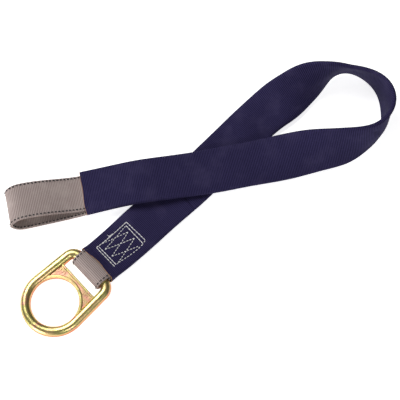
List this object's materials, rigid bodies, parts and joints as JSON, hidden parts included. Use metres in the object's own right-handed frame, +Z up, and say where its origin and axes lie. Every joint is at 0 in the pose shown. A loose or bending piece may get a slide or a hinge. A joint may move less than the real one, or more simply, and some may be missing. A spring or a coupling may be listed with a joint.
{
  "type": "web anchor strap",
  "caption": "Web anchor strap with a forged D-ring sewn in at one end, a web eye at the other, and a woven sleeve between them, lying folded over itself in a bight",
  "frame": {"origin": "centre of the bounding box of the laid-out strap, on the surface it lies on", "axes": "+Z up; the strap lies across X, web eye toward -X, bight toward +X; D-ring toward -X and -Y"},
  "size_m": [0.4665, 0.3426, 0.0573],
  "materials": {
    "zinc_steel": "yellow zinc plated",
    "navy_web": "ribbed woven webbing",
    "grey_web": "ribbed woven webbing",
    "white_thread": "bonded thread",
    "black_thread": "bonded thread"
  },
  "bodies": {
    "strap": {"sleeve_strap": "navy_web", "outer_ply_strap": "grey_web", "inner_ply_strap": "grey_web"},
    "loop_end": {"sleeve_loop_end": "navy_web", "outer_ply_loop_end": "grey_web", "inner_ply_loop_end": "grey_web", "loop_splice_stitch": "white_thread", "edge_stitch_loop_left": "black_thread", "edge_stitch_loop_right": "black_thread"},
    "ring_end": {"sleeve_ring_end": "navy_web", "outer_ply_ring_end": "grey_web", "inner_ply_ring_end": "grey_web", "box_stitch_top": "white_thread", "box_stitch_bottom": "white_thread", "cross_stitch_top": "white_thread", "cross_stitch_bottom": "white_thread", "back_tack": "white_thread", "edge_stitch_ring_left": "black_thread", "edge_stitch_ring_right": "black_thread"},
    "ring": {"d_ring": "zinc_steel"}
  },
  "joints": [
    {"name": "ring_end_bend", "type": "hinge", "parent": "strap", "child": "ring_end", "pos_m": [-0.06958, -0.03618, 0.00903], "axis": [-0.7077, 0.7065, 0], "range_deg": [0, 45]},
    {"name": "loop_end_bend", "type": "hinge", "parent": "strap", "child": "loop_end", "pos_m": [-0.06773, 0.01905, 0.01872], "axis": [-0.1677, 0.9858, -0.0003], "range_deg": [0, 45]},
    {"name": "ring_swing", "type": "hinge", "parent": "ring_end", "child": "ring", "pos_m": [-0.126, -0.091, 0.014], "axis": [-0.6782, 0.7349, 0], "range_deg": [-90, 105]}
  ]
}
